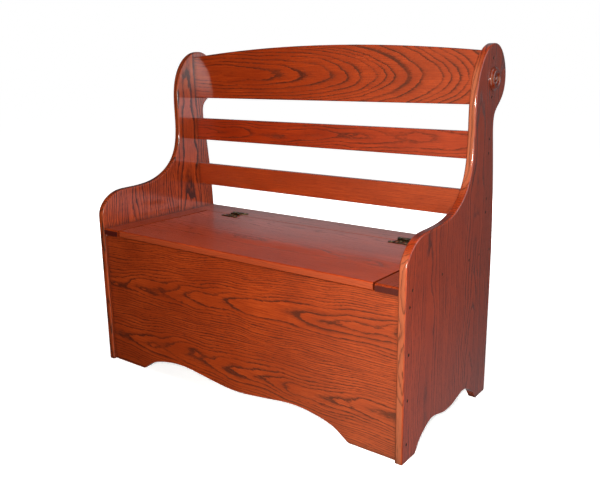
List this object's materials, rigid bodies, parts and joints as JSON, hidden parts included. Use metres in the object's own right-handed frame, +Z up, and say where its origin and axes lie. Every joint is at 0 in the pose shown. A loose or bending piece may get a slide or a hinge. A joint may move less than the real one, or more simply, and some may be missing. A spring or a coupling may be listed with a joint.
{
  "type": "settle bench",
  "caption": "Stained oak settle bench with scrolled ears, an arched crest rail, two back slats and a storage box under a hinged seat lid",
  "frame": {"origin": "bottom centre of the whole bench, on the floor", "axes": "+X to the sitter's left as seen from the front (viewer's right), +Y to the back, +Z up; the front faces -Y"},
  "size_m": [1.0872, 0.5169, 0.968],
  "materials": {
    "oak": "red-orange stained oak under glossy clear varnish",
    "dark_plug": "dark stained wood plugs over the screws",
    "steel_screw": "plain zinc plated steel",
    "hinge_metal": "blackened, slightly worn",
    "hinge_screw": "bright brassed screw heads"
  },
  "bodies": {
    "bench": {"left_side_panel": "oak", "right_side_panel": "oak", "crest_rail": "oak", "upper_back_slat": "oak", "lower_back_slat": "oak", "rear_seat_board": "oak", "left_seat_strip": "oak", "right_seat_strip": "oak", "front_panel": "oak", "back_panel": "oak", "bottom_panel": "oak", "front_bottom_cleat": "oak", "rear_bottom_cleat": "oak", "left_bottom_cleat": "oak", "right_bottom_cleat": "oak", "left_corner_cleat": "oak", "right_corner_cleat": "oak", "left_ear_rosette": "oak", "right_ear_rosette": "oak", "left_hole_plugs": "dark_plug", "right_hole_plugs": "dark_plug", "crest_rail_screws": "steel_screw", "upper_slat_screws": "steel_screw", "lower_slat_screws": "steel_screw", "seat_strip_screws": "steel_screw", "rear_board_screws": "steel_screw", "front_panel_screws": "steel_screw", "bottom_cleat_screws": "steel_screw", "back_panel_screws": "steel_screw", "left_hinge_fixed_leaf": "hinge_metal", "right_hinge_fixed_leaf": "hinge_metal", "left_hinge_pin": "hinge_metal", "right_hinge_pin": "hinge_metal", "fixed_hinge_screws": "hinge_screw"},
    "lid": {"seat_lid": "oak", "left_lid_batten": "oak", "right_lid_batten": "oak", "lid_batten_screws": "steel_screw", "left_hinge_lid_leaf": "hinge_metal", "right_hinge_lid_leaf": "hinge_metal", "lid_hinge_screws": "hinge_screw"}
  },
  "joints": [
    {"name": "lid_hinge", "type": "hinge", "parent": "bench", "child": "lid", "pos_m": [0, 0.12147, 0.433], "axis": [-1, 0, 0], "range_deg": [0, 97]}
  ]
}
